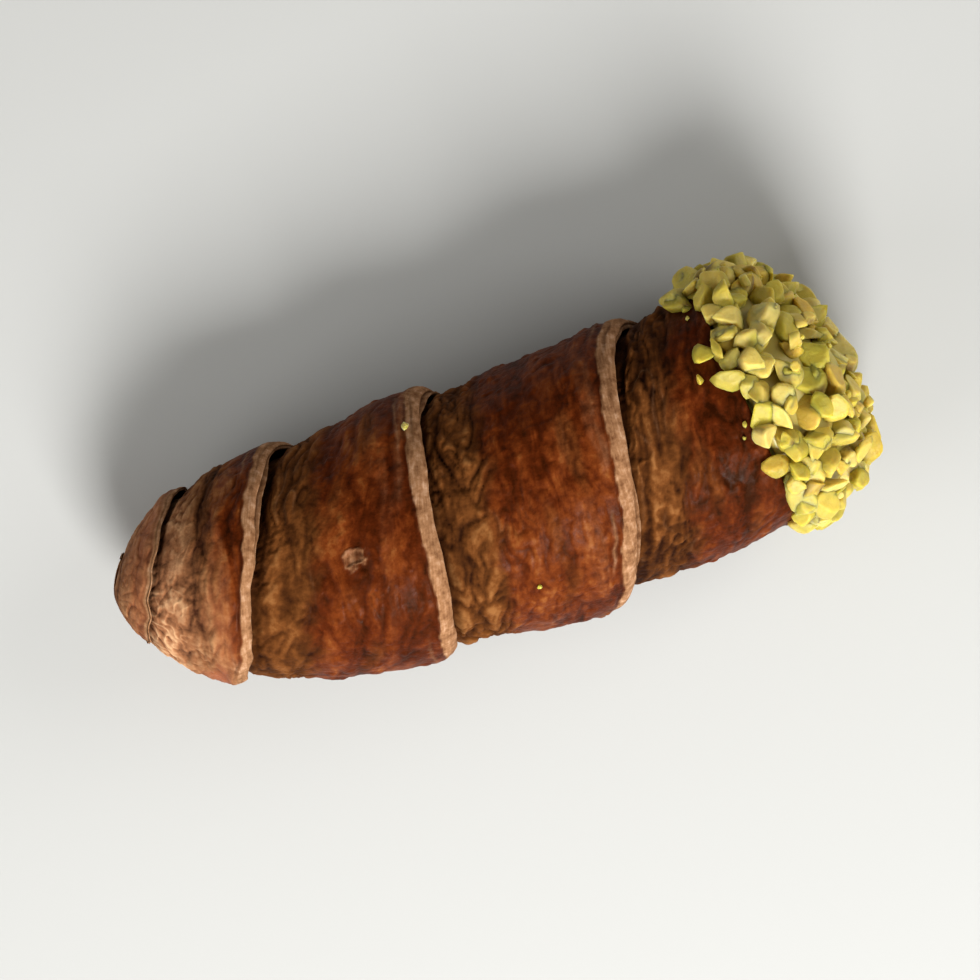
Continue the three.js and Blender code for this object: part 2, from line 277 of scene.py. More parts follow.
def crumpled_dough(t, x, before, lip, glaze, laps, tail):
    """The dough's own relief: slow lumps, long soft folds along the strip, puffs with creases between
    them that are higher where no glaze reached, fine threads, curled wrinkles and creases, a few lifted
    flakes and whole blisters. Gives the height in millimetres and three masks: the crests, which lighten
    raised dough and darken creases, partly as real tone and partly as painted light and shade; the
    flakes' pale rims; and painted shade at the flakes' feet."""
    a = unrolled(t)
    w, d = x - before, lip - x
    dry = 1 - glaze
    near_lip = np.exp(-np.maximum(d - BAND_WIDTH, 0) / 2.0)
    just_out = np.exp(-np.maximum(w, 0) / 2.2)
    calm = 1 - 0.6 * bell((before - CALM_AT) / 6)
    pinched = bell((x - PINCHED_AT) / 5)
    last = smooth((before - LAST_BARE_AT) / 6)

    pull, shove = 2.2 * noise(a / 6, w / 3, 0.7), 0.8 * noise(a / 4, w / 2.5, 6.1)
    folds = noise((a + 2 * pull) / 15, (w + shove) / 1.6, 2.6)
    threads = noise((a + 2 * pull) / 8, (w + 0.5 * shove) / 0.55, 4.2)
    fine = layered(a / 0.9, w / 0.6, 1.9, octaves=2)
    big = puffs((a + pull) / 4.4, (w + shove) / 1.5, 8.2)
    small = puffs((a + 0.6 * pull) / 1.9, (w + 0.6 * shove) / 0.8, 3.9)
    spot = np.moveaxis(place(x, crest_radius(x), TURN * t), -1, 0)
    big += tail * (puffs(*(spot / 2.6 + noise(*(spot / 5)))) - big)
    small += tail * (puffs(*(spot / 1.1)) - small)

    bent = spot / 1.3 + 0.6 * noise(*(spot / 2.1 + 4.4))
    wrinkles = bell(noise(*bent) / 0.17) * tail * dry * laps
    wrinkles *= smooth(0.7 + 1.5 * noise(a / 5, w / 3, 71.7))
    creases = bell(noise((a + 1.5 * pull) / 3.4, (w + 1.5 * shove) / 1.5, 81.8) / 0.15) * dry * (1 - tail)
    creases *= (0.35 + 0.65 * last) * smooth(0.6 + 1.4 * noise(a / 6, w / 3, 91.3))

    field = 1.7 * layered((a + pull) / 14, (w + shove) / 3.4, 5.7, octaves=2)
    flake, away = flakes(field, a, w, 0.22)
    lifted = smooth(2.2 * noise(a / 8, w / 5, 12.1) - 0.1)
    # The flakes' feet are a mask of painted shade under each lifted flake's edge.
    rim, flake_foot_shade = bell(away / 0.11) * lifted, bell((away + 0.22) / 0.16) * lifted

    uneven = 0.6 + 0.8 * smooth(0.5 + 1.2 * noise(a / 9, w / 6, 14.4))
    height = 0.26 * layered(a / 12, w / 7, 3.1, octaves=2)
    height += (0.15 + 0.1 * near_lip + 0.14 * pinched) * folds
    height += uneven * (0.09 + 0.33 * calm * dry * (1 - 0.5 * just_out)) * (big - 0.5)
    height += uneven * (0.06 + 0.14 * calm * dry) * (small - 0.5) + 0.02 * fine
    height += 0.08 * (just_out + last * dry) * threads + 0.13 * wrinkles + 0.15 * creases
    height += 0.14 * flake * lifted + 0.2 * blisters(a, w, 5.2) * smooth((w - 2) / 2)
    height += 0.12 * blisters(a, w, 2.3) * glaze * (1 - tail)

    # Crests lighter, creases darker: partly real tone, such as thinner glaze, partly painted light and shade.
    crest = 0.5 + (0.3 + 0.25 * pinched) * folds
    crest += (0.25 + (0.35 * calm - 0.25 * last) * dry) * (big - 0.55) + 0.25 * calm * (small - 0.55)
    crest += (0.2 * just_out + 0.3 * last * dry) * threads + 0.08 * fine
    crest += 0.45 * wrinkles + 0.26 * creases - 0.24 * last - 0.1 * tail * laps
    pale = 0.2 * rim * dry + 0.5 * near_lip * smooth(2.2 * folds) * (0.5 + 0.5 * threads)
    return height, crest, pale, flake_foot_shade


def broken_blisters(a, w):
    """Blisters that broke open, each a ragged raised rim round a sunken scab, as height in millimetres
    and as a mask of the pale crumb they show."""
    height, broken = np.zeros(w.shape), np.zeros(w.shape)
    for turns, width, size in BROKEN_BLISTERS:
        da, dw = a - unrolled(turns), w - width
        ragged = 1 + 0.5 * noise(0.9 * da + 5 * turns, 0.9 * dw) + 0.3 * noise(2.5 * da, 2.5 * dw + turns)
        share = np.hypot(da, dw) / (size * ragged)
        rim = bell((share - 1) / 0.2) * (0.6 + 0.5 * noise(1.6 * da, 1.6 * dw + turns))
        scab = (0.42 + 0.4 * noise(1.1 * da + 7 * turns, 1.3 * dw)) * smooth((1 - share) / 0.15)
        broken = np.maximum(broken, np.maximum(rim, scab))
        height += 0.16 * bell((share - 1) / 0.25) - 0.14 * smooth((1 - share) / 0.3)
    return height, broken


def cut_edge(a, d, lip, tail):
    """The strip's cut edge at a distance d before its lip: the band's width, masks of the band, of the
    seam between its layers, of the groove behind it and of the line where the glaze shrank back, and its
    height."""
    width = 1.15 * BAND_WIDTH * (0.4 + 0.6 * smooth((lip - 3) / 18))
    width *= 1 + 0.28 * noise(a / 7, 9.4) + 0.12 * noise(a / 1.4, 2.2)
    band = smooth((width - d) / 0.22 + 0.35 * noise(a / 0.8, d / 0.4, 13.1))
    seam = bell((d / width - 0.55 - 0.2 * noise(a / 8, 15.1)) / 0.09) * smooth(2 * noise(a / 11, 27.7) + 0.1)
    groove = bell((d - width - 0.14) / 0.16) * (0.4 + 0.6 * smooth(2 * noise(a / 6, 21.3) + 0.5))
    groove *= 0.3 + 0.7 * smooth(lip / 14)
    shrunk = bell((d - width - 0.8 - 0.5 * noise(a / 7, 31.7)) / 0.15) * (1 - tail)
    shrunk *= smooth(2.4 * noise(a / 13, 40.1) - 0.1)
    layers = 0.02 * noise(a / 5, d / 0.22, 4.4) + 0.04 * noise(a / 1.6, d / 0.6, 8.8)
    height = band * (layers - 0.1 * seam - 0.06) - 0.13 * groove + 0.07 * shrunk
    return width, band, seam, groove, shrunk, height


def baked_surface(t, x, before, lip):
    """What baking did to the outer side, as height in millimetres and masks from 0 to 1: crumpled dough
    under a glaze that leaves a bare stretch beside each lip, a few broken blisters, the pale cut edge,
    and the dip in the shadow of the lip before. The crest mask carries painted light and shade of the
    relief as well as real tone, and one mask is painted shade: at the flakes' feet, in the shadow and on
    the tucked parts beside the lip before, in the groove behind the cut edge and in its seam."""
    a = unrolled(t)
    w, d = x - before, lip - x
    tail = 1 - smooth((x - TAIL_UNTIL) / TAIL_FADES)
    laps = smooth(before / 3.5)
    shown = smooth((w + 0.3) / 0.3)
    glaze = glaze_cover(a, w, laps, tail)
    height, crest, pale, flake_foot_shade = crumpled_dough(t, x, before, lip, glaze, laps, tail)
    sunk, broken = broken_blisters(a, w)
    width, band, seam, groove, shrunk, edge_height = cut_edge(a, d, lip, tail)
    height = (height + sunk) * (1 - 0.85 * smooth((width + 0.5 - d) / 0.7)) + edge_height
    height -= 0.45 * bell(np.maximum(w, 0) / 0.8) * smooth(lip / 10)
    height *= shown * smooth(x / 2)
    # Painted shadow: the colour darkens in a strip beside the lip before, where it throws its shade.
    shadow_width = 0.6 + 0.6 * smooth(1.5 * noise(a / 9, 51.2) + 0.5)
    shadow = bell(np.maximum(w, 0) / shadow_width) * smooth(before / 3)
    stained = 0.5 * smooth(1.6 * noise(a / 5, d / 0.7, 18.8) - 0.3)
    crumb = np.maximum(broken, (pale + 0.55 * shrunk) * shown)
    # Painted shade on the parts of the strip tucked under the lip before.
    shade_under_lip = (1 - shown) * smooth(before / 3)
    return height, {
        "glaze": glaze * (1 - band) * shown,
        "crest": np.clip(crest, 0, 1),
        "pale": np.clip(np.maximum(band * (1 - stained), crumb * (1 - band)), 0, 1),
        # Painted shade: at flakes' feet, beside and under the lip before, in the groove and the band's seam.
        "dark": shown * (1 - band) * (0.5 * flake_foot_shade + 0.7 * shadow) + shade_under_lip + 0.5 * groove + 0.6 * band * seam,
        "tail": tail * (0.25 + 0.75 * laps),
        "cut": band,
    }


def core_radius(x):
    """The wall's inner side: the bore, drawn in towards the tail, where the turns are pressed
    together."""
    return (0.45 + 0.55 * smooth((x - 8) / 8)) * np.minimum(bore_radius(x), crest_radius(x))


def inner_side(t, x, r, before, lip, depth):
    """x and radius of the rest of the section: down the face of the cut, whose lower layer sticks out
    further in places, back under the lip, down to the bore and along it, and never through the outer
    side."""
    a = unrolled(t)
    start = x[:, :1]
    next_top = crest_radius(lip) - STRIP_STEP * smooth(np.clip(lip / NOSE_LENGTH, 0.12, 1))
    gap = (0.42 + 0.2 * np.sin(TURN * 1.7 * t + 0.6)) * (0.3 + 0.7 * smooth(lip / 9))
    face, under, back, bore = (np.linspace(0, 1, n + 1)[1:] for n in (FACE, UNDER, BACK, BORE))
    foot_r = np.minimum(next_top + gap, r[:, -1:] - 0.3)
    second_layer = 0.6 * smooth(1.8 * noise(a / 15, 33.3) + 0.1) * smooth(lip / 14)
    sticks_out = second_layer * smooth((face - 0.42) / 0.14) * (1 - 0.5 * smooth((face - 0.8) / 0.2))
    notch = 0.16 * bell((face - NOTCH_AT) / 0.1)
    face_x = lip - 0.12 * face - notch + sticks_out + 0.04 * noise(a / 0.8, 4 * face, 6.2)
    face_r = r[:, -1:] + (foot_r - r[:, -1:]) * face
    under_end = lip - np.minimum(2.6, 0.45 * (lip - start))
    under_x = face_x[:, -1:] + (under_end - face_x[:, -1:]) * under
    under_r = foot_r + (np.minimum(next_top + 0.5 * gap, foot_r) - foot_r) * under
    behind = np.maximum(lip - HIDDEN - 0.3, start + 0.12 * (lip - start))
    back_x = under_end + (behind - under_end) * back**0.3
    back_r = under_r[:, -1:] + (core_radius(behind) - under_r[:, -1:]) * back**2
    bore_x = behind + (start - behind) * bore
    far_x = np.concatenate([face_x, under_x, back_x, bore_x], 1)
    far_r = np.concatenate([face_r, under_r, back_r, core_radius(bore_x)], 1)
    outside = top_radius(far_x, before, lip)
    tucked = np.clip((before - far_x) / np.maximum(before - start, 0.1), 0, 1)
    deepest = np.maximum(outside - depth * tucked - 0.4, 0.25 * outside)
    far_r[:, FACE:] = np.minimum(far_r, deepest)[:, FACE:]
    return far_x, far_r, np.broadcast_to(face, face_x.shape)


def end_at_rim(x, r):
    """Lays the part of each section that would go past the rim evenly down the rim's face."""
    past = x > SHELL_LENGTH
    points = x.shape[1]
    first = np.maximum(past.argmax(1) - 1, 0)[:, None]
    last = np.minimum(points - past[:, ::-1].argmax(1), points - 1)[:, None]
    share = (np.arange(points) - first) / np.maximum(last - first, 1)
    from_r, to_r = np.take_along_axis(r, first, 1), np.take_along_axis(r, last, 1)
    return np.where(past, SHELL_LENGTH, x), np.where(past, from_r + (to_r - from_r) * share, r)


def add_attributes(mesh, attributes):
    """Stores arrays of one value for each point in a mesh, by name."""
    for key, values in attributes.items():
        layer = mesh.attributes.new(key, "FLOAT", "POINT")
        layer.data.foreach_set("value", values.astype(np.float32).ravel())


def closed_tube(name, at, attributes, uv=None):
    """A closed mesh through rings of points, given as an array of rings by points by 3 in metres: quads
    between neighbours round and along, and one sharp-edged face over each end."""
    rings, points = at.shape[:2]
    i, j = np.meshgrid(np.arange(rings - 1), np.arange(points), indexing="ij")
    a, b = i * points + j, i * points + (j + 1) % points
    quads = np.stack([a, b, b + points, a + points], -1).reshape(-1, 4)
    ends = [list(range(points))[::-1], [(rings - 1) * points + k for k in range(points)]]
    mesh = bpy.data.meshes.new(name)
    mesh.from_pydata(at.reshape(-1, 3).tolist(), [], quads.tolist() + ends)
    add_attributes(mesh, attributes)
    if uv is not None:
        corner = np.zeros(len(mesh.loops), np.int32)
        mesh.loops.foreach_get("vertex_index", corner)
        flat = uv.reshape(-1, 2)[corner].astype(np.float32)
        mesh.uv_layers.new(name="strip").data.foreach_set("uv", flat.ravel())
    mesh.shade_smooth()
    pair = np.zeros(len(mesh.edges) * 2, np.int32)
    mesh.edges.foreach_get("vertices", pair)
    ring = pair.reshape(-1, 2) // points
    sharp = (ring[:, 0] == ring[:, 1]) & ((ring[:, 0] == 0) | (ring[:, 0] == rings - 1))
    mesh.attributes.new("sharp_edge", "BOOLEAN", "EDGE").data.foreach_set("value", sharp)
    return mesh


def wound_strip(first, last):
    """The sections of the strip from one count of turns to another: positions in millimetres, masks and
    the flat strip's own coordinates."""
    t = np.linspace(first, last, RUN_STEPS + 1)[:, None]
    x, r, before, lip, depth = outer_side(t)
    height, masks = baked_surface(t, x, before, lip)
    r = r + height
    far_x, far_r, face = inner_side(t, x, r, before, lip, depth)
    all_x, all_r = end_at_rim(np.concatenate([x, far_x], 1), np.concatenate([r, far_r], 1))
    at = settle(place(all_x, all_r, TURN * t), 0, PRESS_SOFTNESS)
    for key, values in masks.items():
        masks[key] = np.zeros(all_x.shape)
        masks[key][:, :OUTER] = values
    masks["glaze"][:, :OUTER] *= smooth((at[:, :OUTER, 2] - 0.5) / 3.5)
    on_face = slice(OUTER, OUTER + FACE)
    # On the cut face: pale layers, less pale and with painted shade in the notch, and painted shade lower
    # down.
    masks["pale"][:, on_face] = 0.85 - 0.5 * bell((face - NOTCH_AT) / 0.14)
    masks["crest"][:, on_face] = 0.5
    masks["cut"][:, on_face] = 1
    masks["dark"][:, on_face] = 0.7 * bell((face - NOTCH_AT) / 0.12) + 0.5 * smooth(2 * face - 1)
    # Painted shade over all of the section under the lip, behind it and along the bore.
    masks["dark"][:, OUTER + FACE:] = 1
    flat = np.stack(np.broadcast_arrays(unrolled(t), all_x - before), -1)
    return at, masks, flat


RUNS = {
    "pastry_tail": (FIRST_TURN, 0.5), "pastry_second_turn": (0.5, 1.5), "pastry_third_turn": (1.5, 2.5),
    "pastry_fourth_turn": (2.5, 3.5), "pastry_mouth": (3.5, LAST_TURN),
}
strips = {name: wound_strip(*span) for name, span in RUNS.items()}
every_point = np.concatenate([at.reshape(-1, 3) for at, masks, flat in strips.values()])
shell_low, shell_high = (np.array(corner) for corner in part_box("pastry_shell"))
SHIFT = (shell_low + shell_high) / 2 - (every_point.min(0) + every_point.max(0)) / 2 * MM
SHIFT[2] = 0


def linear(hexa):
    """A material or light colour from its sRGB hex value."""
    parts = [int(hexa[i:i + 2], 16) / 255 for i in (1, 3, 5)]
    return tuple(c / 12.92 if c <= 0.04045 else ((c + 0.055) / 1.055) ** 2.4 for c in parts) + (1.0,)


def add(tree, kind, inputs=None, stops=(), **settings):
    """Adds one node, sets it up, gives a colour ramp its stops, and fills its inputs with values or
    links."""
    node = tree.nodes.new(kind)
    for key, value in settings.items():
        setattr(node, key, value)
    for number, (position, shade) in enumerate(stops):
        if number > 1:
            node.color_ramp.elements.new(position)
        node.color_ramp.elements[number].position = position
        node.color_ramp.elements[number].color = linear(shade)
    for key, value in (inputs or {}).items():
        if isinstance(value, bpy.types.NodeSocket):
            tree.links.new(value, node.inputs[key])
        else:
            node.inputs[key].default_value = value
    return node


def material(name, **shader_values):
    """An empty material with a Principled shader, whose values are set on its own sockets."""
    made = bpy.data.materials.new(name)
    made.use_nodes = True
    tree = made.node_tree
    tree.nodes.clear()
    shader = add(tree, "ShaderNodeBsdfPrincipled", {k.replace("_", " "): v for k, v in shader_values.items()})
    add(tree, "ShaderNodeOutputMaterial", {"Surface": shader.outputs[0]})
    return made, tree, shader


def fit(mesh, finish, node):
    """Puts a finished mesh into the scene as the piece that stands for a CAD node."""
    mesh.materials.append(finish)
    piece = bpy.data.objects.new(mesh.name, mesh)
    bpy.context.scene.collection.objects.link(piece)
    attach(piece, "root")
    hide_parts(node)


# Baked cocoa puff pastry: egg-and-syrup glaze gives the top a dark red-brown, satin skin that is thin on
# the crests; where the turn before covered it the dough stayed dry and olive-brown; the cut edges show
# pale, dry, fine layers. Lighter crests and darker creases are partly painted light and shade, and the
# gaps, notches and hidden sides under the lips are darkened with painted shade.
pastry, tree, shader = material("baked_cocoa_puff_pastry", IOR=1.45, Specular_IOR_Level=0.06,
                                Specular_Tint=linear("#ffc28a"), Coat_Roughness=0.2)
place_in = add(tree, "ShaderNodeTexCoord").outputs["Object"]
strip_uv = add(tree, "ShaderNodeUVMap", uv_map="strip").outputs[0]
# Streaks of glaze, layers of dough and drawn creases all run along the strip; sizes are along and across it.
along = add(tree, "ShaderNodeMapping", {"Vector": strip_uv, "Scale": (1 / 4.5, 1 / 2.2, 1)})
fibre = add(tree, "ShaderNodeMapping", {"Vector": strip_uv, "Scale": (1 / 2.2, 1 / 0.22, 1)})
drawn = add(tree, "ShaderNodeMapping", {"Vector": strip_uv, "Scale": (1 / 2.4, 1 / 0.8, 1)})
mask = {k: add(tree, "ShaderNodeAttribute", attribute_name=k).outputs["Fac"]
        for k in ("glaze", "crest", "pale", "dark", "tail", "cut")}
patches = add(tree, "ShaderNodeTexNoise", {"Vector": place_in, "Scale": 1 / (5.0 * MM), "Detail": 4.0,
                                           "Roughness": 0.55})
mottle = add(tree, "ShaderNodeTexNoise", {"Vector": place_in, "Scale": 1 / (1.0 * MM), "Detail": 5.0,
                                          "Roughness": 0.65})
streak = add(tree, "ShaderNodeTexNoise", {"Vector": along.outputs[0], "Scale": 1.0, "Detail": 4.0,
                                          "Roughness": 0.6, "Distortion": 1.6})
layer_lines = add(tree, "ShaderNodeTexNoise", {"Vector": fibre.outputs[0], "Scale": 1.0, "Detail": 3.0,
                                               "Roughness": 0.6})
blotch = add(tree, "ShaderNodeMath", {0: streak.outputs[0], 1: patches.outputs[0]}, operation="ADD")
# Crests lighter and creases darker: partly real tone, partly painted light and shade of the relief.
raised = add(tree, "ShaderNodeMath", {0: mask["crest"], 1: mottle.outputs[0]}, operation="ADD")
raised_range = add(tree, "ShaderNodeMapRange", {"Value": raised.outputs[0], "From Min": 0.5, "From Max": 1.5})
bare = add(tree, "ShaderNodeValToRGB", {"Fac": raised_range.outputs[0]},
           stops=[(0.0, "#210d05"), (0.4, "#44240d"), (0.7, "#5f3617"), (1.0, "#7c502a")])
dusty = add(tree, "ShaderNodeValToRGB", {"Fac": raised_range.outputs[0]},
            stops=[(0.0, "#452719"), (0.5, "#966443"), (1.0, "#c59a72")])
dry = add(tree, "ShaderNodeMix", {0: mask["tail"], 6: bare.outputs[0], 7: dusty.outputs[0]}, data_type="RGBA")
tone = add(tree, "ShaderNodeMath", {0: raised.outputs[0], 1: blotch.outputs[0]}, operation="ADD")
tone_range = add(tree, "ShaderNodeMapRange", {"Value": tone.outputs[0], "From Min": 1.45, "From Max": 2.6})
glazed = add(tree, "ShaderNodeValToRGB", {"Fac": tone_range.outputs[0]},
             stops=[(0.0, "#240a01"), (0.4, "#461905"), (0.7, "#612b0d"), (1.0, "#7e4820")])
thin_glaze = add(tree, "ShaderNodeMapRange", {"Value": mask["tail"], "From Max": 0.33, "To Max": 0.6})
syrup = add(tree, "ShaderNodeMix", {0: thin_glaze.outputs[0], 6: glazed.outputs[0], 7: linear("#a35f40")},
            data_type="RGBA")
skin = add(tree, "ShaderNodeMix", {0: mask["glaze"], 6: dry.outputs[2], 7: syrup.outputs[2]},
           data_type="RGBA")
crumb_tone = add(tree, "ShaderNodeMath", {0: layer_lines.outputs[0], 1: 0.4, 2: mottle.outputs[0]},
                 operation="MULTIPLY_ADD")
crumb_range = add(tree, "ShaderNodeMapRange", {"Value": crumb_tone.outputs[0], "From Min": 0.48,
                                               "From Max": 0.98})
layer_tone = add(tree, "ShaderNodeValToRGB", {"Fac": crumb_range.outputs[0]},
                 stops=[(0.0, "#5d3a23"), (0.5, "#8e6646"), (1.0, "#b69072")])
flaked = add(tree, "ShaderNodeMix", {0: mask["pale"], 6: skin.outputs[2], 7: layer_tone.outputs[0]},
             data_type="RGBA")
# Painted shade: the shade mask darkens the colour towards near-black brown in gaps, grooves and under lips.
darkness = add(tree, "ShaderNodeMath", {0: mask["dark"], 1: 0.8}, operation="MULTIPLY", use_clamp=True)
final = add(tree, "ShaderNodeMix", {0: darkness.outputs[0], 6: flaked.outputs[2], 7: linear("#1f0c05")},
            data_type="RGBA")
tree.links.new(final.outputs[2], shader.inputs["Base Color"])
rough = add(tree, "ShaderNodeMapRange", {"Value": mask["glaze"], "To Min": 0.75, "To Max": 0.48})
tree.links.new(rough.outputs[0], shader.inputs["Roughness"])
drops = add(tree, "ShaderNodeTexNoise", {"Vector": place_in, "Scale": 1 / (0.9 * MM), "Detail": 2.0})
wet = add(tree, "ShaderNodeMapRange", {"Value": drops.outputs[0], "From Min": 0.56, "From Max": 0.7,
                                       "To Min": 0.01, "To Max": 0.035})
gloss = add(tree, "ShaderNodeMath", {0: wet.outputs[0], 1: mask["glaze"]}, operation="MULTIPLY")
tree.links.new(gloss.outputs[0], shader.inputs["Coat Weight"])
crinkle = add(tree, "ShaderNodeTexNoise", {"Vector": place_in, "Scale": 1 / (0.5 * MM), "Detail": 4.0,
                                           "Roughness": 0.6})
creased = add(tree, "ShaderNodeTexNoise", {"Vector": drawn.outputs[0], "Scale": 1.0, "Detail": 3.0,
                                           "Roughness": 0.5, "Gain": 1.5}, noise_type="RIDGED_MULTIFRACTAL")
layer_height = add(tree, "ShaderNodeMath", {0: layer_lines.outputs[0], 1: mask["cut"]}, operation="MULTIPLY")
grain_line = add(tree, "ShaderNodeMath", {0: crinkle.outputs[0], 1: layer_height.outputs[0]}, operation="ADD")
relief = add(tree, "ShaderNodeMath", {0: creased.outputs[0], 1: -0.5, 2: grain_line.outputs[0]},
             operation="MULTIPLY_ADD")
smoothed = add(tree, "ShaderNodeMapRange", {"Value": mask["cut"], "To Min": 1.0, "To Max": 0.5})
bump = add(tree, "ShaderNodeBump", {"Height": relief.outputs[0], "Distance": 0.09 * MM,
                                    "Strength": smoothed.outputs[0]})
tree.links.new(bump.outputs[0], shader.inputs["Normal"])

for name, (at, masks, flat) in strips.items():
    fit(closed_tube(name, at * MM + SHIFT, masks, flat), pastry, "pastry_shell")


# ---- The pistachio cream ----
# A smooth pale green-beige cream, piped into the bore until it swells past the rim as a blunt knob. It is
# a profile turned round the roll's bent middle.
NODE_GAP = 0.35  # keeps the cream's surface clear of the pastry's
HEAD_FROM = SHELL_LENGTH + NODE_GAP
HEAD_RADIUS = 12.2
HEAD_HEIGHT = 8.4
HEAD_COLLAR = 0.6  # the knob's straight edge
HEAD_FULLNESS = 0.77  # 1 is an ellipse, less is blunter
HOLLOW_FROM = 11.0  # the bore is filled to this far from the tail's tip
END_DEPTH = 5.0  # of the rounded end there
SWELLING, SWELLING_WIDTH = 0.35, 4.0
FLOOR_GAP = 0.2
CREAM_SIDES = 120


def knob_point(share):
    """The knob's profile from its collar at 0 to its middle at 1: a superellipse."""
    angle = share * math.pi / 2
    x = HEAD_FROM + HEAD_COLLAR + HEAD_HEIGHT * np.sin(angle) ** HEAD_FULLNESS
    return x, HEAD_RADIUS * np.maximum(np.cos(angle), 0) ** HEAD_FULLNESS


def cream_rings():
    """The bore's length and the knob as rings about the bent middle, with soft swellings on the knob. The
    end in the bore is a quarter of an ellipse turned round the middle."""
    s = np.linspace(0.02, 1, 12)
    end_x = HOLLOW_FROM + NODE_GAP + END_DEPTH * (1 - np.sqrt(1 - s * s))
    end_r = (bore_radius(end_x) - NODE_GAP) * s
    bore_x = np.linspace(HOLLOW_FROM + END_DEPTH + 1, SHELL_LENGTH - 0.3, 24)
    collar = np.linspace(0, 1, 8)[1:]
    collar_r = BORE_RADIUS - NODE_GAP + (HEAD_RADIUS - BORE_RADIUS + NODE_GAP) * collar
    knob_x, knob_r = knob_point(np.linspace(0.0, 0.995, 40))
    x = np.concatenate([end_x, bore_x, HEAD_FROM + 0 * collar, knob_x])[:, None]
    r = np.concatenate([end_r, bore_radius(bore_x) - NODE_GAP, collar_r, knob_r])[:, None]
    angle = np.linspace(0, TURN, CREAM_SIDES, endpoint=False)
    rough_at = place(x, r + 0 * angle, angle)
    swell = SWELLING * noise(*np.moveaxis(rough_at / SWELLING_WIDTH, -1, 0)) * smooth((x - HEAD_FROM) / 2)
    return settle(place(x, r + swell, angle), FLOOR_GAP, PRESS_SOFTNESS)


# Pistachio cream: smooth, moist and a little translucent, clouded by finely ground nuts.
cream, tree, shader = material("pistachio_cream", Roughness=0.38, IOR=1.45, Subsurface_Weight=0.25,
                               Subsurface_Scale=1.2 * MM)
place_in = add(tree, "ShaderNodeTexCoord").outputs["Object"]
cloud = add(tree, "ShaderNodeTexNoise", {"Vector": place_in, "Scale": 1 / (2.5 * MM), "Detail": 4.0})
tone = add(tree, "ShaderNodeMix", {0: cloud.outputs[0], 6: linear("#8c7a2f"), 7: linear("#b3a04d")},
           data_type="RGBA")
tree.links.new(tone.outputs[2], shader.inputs["Base Color"])
fit(closed_tube("pistachio_cream", cream_rings() * MM + SHIFT, {}), cream, "pistachio_filling")


# ---- The chopped pistachios ----
# Knife-cut slices of shelled pistachio, 2 to 5 mm, that the filled mouth was dipped into. Each keeps part
# of the kernel's rounded side between its flat cuts, whose edges are worn. They stick to the cream and
# lap over the rim, and are one joined mesh.
CHORDS = 3  # straight cuts across each slice
CORNER_POWER = 12  # how sharply the cuts meet
LENGTHS, WIDTHS, THICKNESSES = (1.0, 1.4), (0.6, 0.95), (0.26, 0.6)  # of a slice of size 1
CUT_AT = (0.42, 1.0)  # how far out each cut lies, as a share of the oval
SLICE_RINGS = np.array([  # width and height of each ring, as shares
    (0.55, 1.0), (0.84, 1.0), (0.96, 0.82), (1.0, 0.42),
    (1.0, -0.42), (0.96, -0.82), (0.84, -1.0), (0.55, -1.0),
])
PAPERY_SHARE = 0.1  # pieces that keep a scrap of brown skin
GOLDEN_ANGLE = 2.39996
HALF_BALL = 12  # radius of the half ball that the knob's pieces are first spread on
PUSHES = 80  # rounds of pushing them apart
HEART = 1.5  # the pieces on the knob face away from a point this far past the rim
NEAR_LINE = 0.35
RISEN = 0.17  # how high a piece on the pastry lies, as a share of its size
LOWEST_SHARE, LOWEST = 0.42, 0.03  # the lowest middle, as a share of the size, and the lowest point


def unit(v):
    """Vectors of length 1 along the given ones."""
    return v / np.linalg.norm(v, axis=-1, keepdims=True)


def slices(n, sides):
    """Slices of size 1 lying flat, as points for each slice, ring and side, with the share of the
    kernel's own side in each point of the outline. The outline is a soft minimum of an oval and of the
    straight chords across it: the sum of their distances from the middle, each to the power of -12, to
    the power of -1/12. Rings of it at different widths and heights round the edges over. The top is
    smaller than the bottom and shifted, and both are tilted."""
    angle = np.linspace(0, TURN, sides, endpoint=False)
    length, width = 0.5 * rng.uniform(*LENGTHS, (n, 1)), 0.5 * rng.uniform(*WIDTHS, (n, 1))
    oval = 1 / np.hypot(np.cos(angle) / length, np.sin(angle) / width)
    turned = rng.random((n, 1, 1))
    towards = TURN * (turned + (np.arange(CHORDS)[:, None] + 0.5 * rng.random((n, CHORDS, 1))) / CHORDS)
    reach = np.hypot(length[..., None] * np.cos(towards), width[..., None] * np.sin(towards))
    facing = np.maximum(np.cos(angle - towards), 0.05)
    chord = rng.uniform(*CUT_AT, (n, CHORDS, 1)) * reach / facing
    edges = np.concatenate([oval[:, None], chord], 1)
    share = (edges / edges.min(1, keepdims=True)) ** -CORNER_POWER
    outline = edges.min(1) * share.sum(1) ** (-1 / CORNER_POWER)
    kernel_side = share[:, 0] / share.sum(1)
    ring, level = SLICE_RINGS[:, 0, None], SLICE_RINGS[:, 1, None]
    narrowed = 1 - rng.uniform(0, 0.3, (n, 1, 1)) * (0.5 + 0.5 * level)
    shift = rng.normal(0, 0.09, (n, 2, 1, 1)) * level
    x = outline[:, None] * ring * narrowed * np.cos(angle) + shift[:, 0]
    y = outline[:, None] * ring * narrowed * np.sin(angle) + shift[:, 1]
    half = 0.5 * rng.uniform(*THICKNESSES, (n, 1, 1))
    tilt = rng.normal(0, 0.22, (n, 4, 1, 1))
    lean = np.where(level > 0, tilt[:, 0] * x + tilt[:, 1] * y, tilt[:, 2] * x + tilt[:, 3] * y)
    z = (half + np.clip(lean, -0.5 * half, 0.5 * half)) * level
    at = np.stack([x, y, z], -1)
    seeds = 9 * rng.random((n, 1, 1, 3))
    return at * (1 + 0.08 * noise(*np.moveaxis(at * 2.5 + seeds, -1, 0)))[..., None], kernel_side


